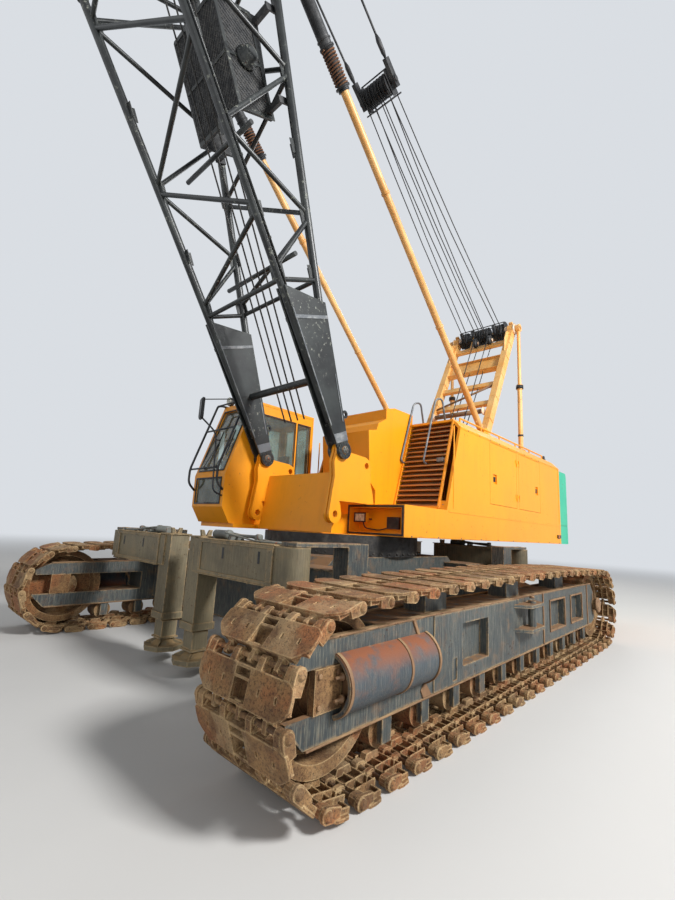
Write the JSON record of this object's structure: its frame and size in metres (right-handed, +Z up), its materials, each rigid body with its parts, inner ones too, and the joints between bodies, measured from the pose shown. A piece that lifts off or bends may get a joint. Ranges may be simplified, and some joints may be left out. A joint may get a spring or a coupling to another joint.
{
  "type": "lattice boom crawler crane",
  "caption": "Lattice boom crawler crane on two shoe tracks, with slewing upper works, cab, gantry, backstops and hook block.",
  "frame": {"origin": "on the ground under the swing axis", "axes": "+X forward, along the tracks and the boom at rest; +Y to the left; +Z up"},
  "size_m": [16.095, 6.7, 16.9847],
  "materials": {
    "frame_slate": "worn dark blue-grey paint with rust streaks",
    "ring_steel": "greasy steel",
    "track_rust": "rusty cast steel, polished where it runs",
    "jack_paint": "worn grey-olive paint",
    "body_yellow": "orange-yellow paint, scuffed and dusty",
    "louvre_brown": "brown rusty louvres",
    "engine_grey": "painted casting",
    "counterweight_teal": "teal green paint",
    "cab_glass": "tinted glass",
    "seat_vinyl": "black vinyl",
    "gantry_cream": "faded orange paint",
    "greasy_black": "black greasy paint",
    "boom_black": "black paint worn to grey",
    "hook_steel": "forged steel"
  },
  "bodies": {
    "root": {"carbody": "frame_slate", "slew_ring": "ring_steel", "track_frames": "frame_slate", "takeup_covers": "track_rust", "track_left": "track_rust", "track_right": "track_rust", "idlers": "track_rust", "tumblers": "track_rust", "track_rollers": "track_rust"},
    "upper": {"deck": "body_yellow", "boom_lugs": "body_yellow", "house_shell": "body_yellow", "house_mid": "body_yellow", "louvres": "louvre_brown", "engine": "engine_grey", "counterweight": "counterweight_teal", "roof_rails": "body_yellow", "roof_brackets": "body_yellow", "cab_shell": "body_yellow", "cab_glass": "cab_glass", "cab_seat": "seat_vinyl"},
    "jack_fl": {"jack_arm_fl": "jack_paint"},
    "foot_fl": {"jack_foot_fl": "jack_paint"},
    "jack_fr": {"jack_arm_fr": "jack_paint"},
    "foot_fr": {"jack_foot_fr": "jack_paint"},
    "jack_rl": {"jack_arm_rl": "jack_paint"},
    "foot_rl": {"jack_foot_rl": "jack_paint"},
    "jack_rr": {"jack_arm_rr": "jack_paint"},
    "foot_rr": {"jack_foot_rr": "jack_paint"},
    "house_door_l1": {"house_door_l1": "body_yellow"},
    "house_door_l2": {"house_door_l2": "body_yellow"},
    "house_door_r1": {"house_door_r1": "body_yellow"},
    "house_door_r2": {"house_door_r2": "body_yellow"},
    "cab_door": {"cab_door": "body_yellow"},
    "gantry": {"gantry_frame": "gantry_cream", "gantry_sheaves": "greasy_black"},
    "strut_tubes": {"gantry_tubes": "gantry_cream"},
    "strut_rods": {"gantry_rods": "gantry_cream"},
    "stop_tubes": {"backstop_tubes": "body_yellow"},
    "stop_sleeves": {"backstop_sleeves": "greasy_black"},
    "boom": {"boom_chords": "boom_black", "boom_lacing": "boom_black", "boom_plates": "boom_black", "boom_winch": "greasy_black"},
    "head_sheaves": {"head_sheaves": "greasy_black"},
    "suspension": {"pendants": "greasy_black"},
    "hook_block": {"hook_falls": "greasy_black", "hook_block": "body_yellow"},
    "hook": {"hook": "hook_steel"}
  },
  "joints": [
    {"name": "swing", "type": "hinge", "parent": "root", "child": "upper", "pos_m": [0, 0, 1.535], "axis": [0, 0, 1], "continuous": true},
    {"name": "jack_fl_swing", "type": "hinge", "parent": "root", "child": "jack_fl", "pos_m": [2.88, 2.01, 1.18], "axis": [0, 0, 1], "range_deg": [0, 90]},
    {"name": "jack_fl_lower", "type": "slide", "parent": "jack_fl", "child": "foot_fl", "axis": [0, 0, -1], "range_m": [0, 0.14]},
    {"name": "jack_fr_swing", "type": "hinge", "parent": "root", "child": "jack_fr", "pos_m": [2.88, -2.01, 1.18], "axis": [0, 0, -1], "range_deg": [0, 90]},
    {"name": "jack_fr_lower", "type": "slide", "parent": "jack_fr", "child": "foot_fr", "axis": [0, 0, -1], "range_m": [0, 0.14]},
    {"name": "jack_rl_swing", "type": "hinge", "parent": "root", "child": "jack_rl", "pos_m": [-2.88, 2.01, 1.18], "axis": [0, 0, -1], "range_deg": [0, 90]},
    {"name": "jack_rl_lower", "type": "slide", "parent": "jack_rl", "child": "foot_rl", "axis": [0, 0, -1], "range_m": [0, 0.14]},
    {"name": "jack_rr_swing", "type": "hinge", "parent": "root", "child": "jack_rr", "pos_m": [-2.88, -2.01, 1.18], "axis": [0, 0, 1], "range_deg": [0, 90]},
    {"name": "jack_rr_lower", "type": "slide", "parent": "jack_rr", "child": "foot_rr", "axis": [0, 0, -1], "range_m": [0, 0.14]},
    {"name": "house_door_l1_open", "type": "hinge", "parent": "upper", "child": "house_door_l1", "pos_m": [-3.794, 1.66, 2.8], "axis": [0, 0, 1], "range_deg": [0, 88]},
    {"name": "house_door_l2_open", "type": "hinge", "parent": "upper", "child": "house_door_l2", "pos_m": [-3.916, 1.66, 2.8], "axis": [0, 0, -1], "range_deg": [0, 88]},
    {"name": "house_door_r1_open", "type": "hinge", "parent": "upper", "child": "house_door_r1", "pos_m": [-3.794, -1.66, 2.8], "axis": [0, 0, -1], "range_deg": [0, 88]},
    {"name": "house_door_r2_open", "type": "hinge", "parent": "upper", "child": "house_door_r2", "pos_m": [-3.916, -1.66, 2.8], "axis": [0, 0, 1], "range_deg": [0, 88]},
    {"name": "cab_door_open", "type": "hinge", "parent": "upper", "child": "cab_door", "pos_m": [1.184, -1.995, 2.8], "axis": [0, 0, 1], "range_deg": [0, 100]},
    {"name": "gantry_fold", "type": "hinge", "parent": "upper", "child": "gantry", "pos_m": [-4, 0, 4.07], "axis": [0, 1, 0], "range_deg": [-52, 0]},
    {"name": "strut_swing", "type": "hinge", "parent": "upper", "child": "strut_tubes", "pos_m": [-5.85, 0, 4], "axis": [0, 1, 0], "range_deg": [-70.04, 0.5]},
    {"name": "strut_slide", "type": "slide", "parent": "strut_tubes", "child": "strut_rods", "axis": [0, 0, 1], "range_m": [-1.394, 0.01]},
    {"name": "boom_luff", "type": "hinge", "parent": "upper", "child": "boom", "pos_m": [1.13, 0, 2.9], "axis": [0, -1, 0], "range_deg": [-35, 12]},
    {"name": "backstop_swing", "type": "hinge", "parent": "upper", "child": "stop_tubes", "pos_m": [-3.37, 0, 4.06], "axis": [0, -1, 0], "range_deg": [-24.44, 8.71]},
    {"name": "backstop_slide", "type": "slide", "parent": "stop_tubes", "child": "stop_sleeves", "axis": [0.7346, 0, 0.6785], "range_m": [-0.74, 2.139]},
    {"name": "suspension_swing", "type": "hinge", "parent": "boom", "child": "suspension", "pos_m": [7.1004, 0, 16.8605], "axis": [0, -1, 0], "range_deg": [-3.22, 8.44]},
    {"name": "head_sheave_spin", "type": "hinge", "parent": "boom", "child": "head_sheaves", "pos_m": [8.04498, 0, 16.49791], "axis": [0, 1, 0], "continuous": true},
    {"name": "hook_hang", "type": "hinge", "parent": "boom", "child": "hook_block", "pos_m": [8.04498, 0, 16.49791], "axis": [0, -1, 0], "range_deg": [-12.5, 35.5]},
    {"name": "hook_swivel", "type": "hinge", "parent": "hook_block", "child": "hook", "pos_m": [8.04498, 0, 11.37791], "axis": [0, 0, 1], "continuous": true}
  ],
  "couplings": [
    {"joint": "strut_swing", "follows": "gantry_fold", "ratio": 1.3373},
    {"joint": "strut_slide", "follows": "gantry_fold", "m_per_rad": 1.5245},
    {"joint": "backstop_swing", "follows": "boom_luff", "ratio": 0.6841},
    {"joint": "backstop_slide", "follows": "boom_luff", "m_per_rad": -3.4846},
    {"joint": "suspension_swing", "follows": "boom_luff", "ratio": -0.2268},
    {"joint": "hook_hang", "follows": "boom_luff", "ratio": -1}
  ]
}
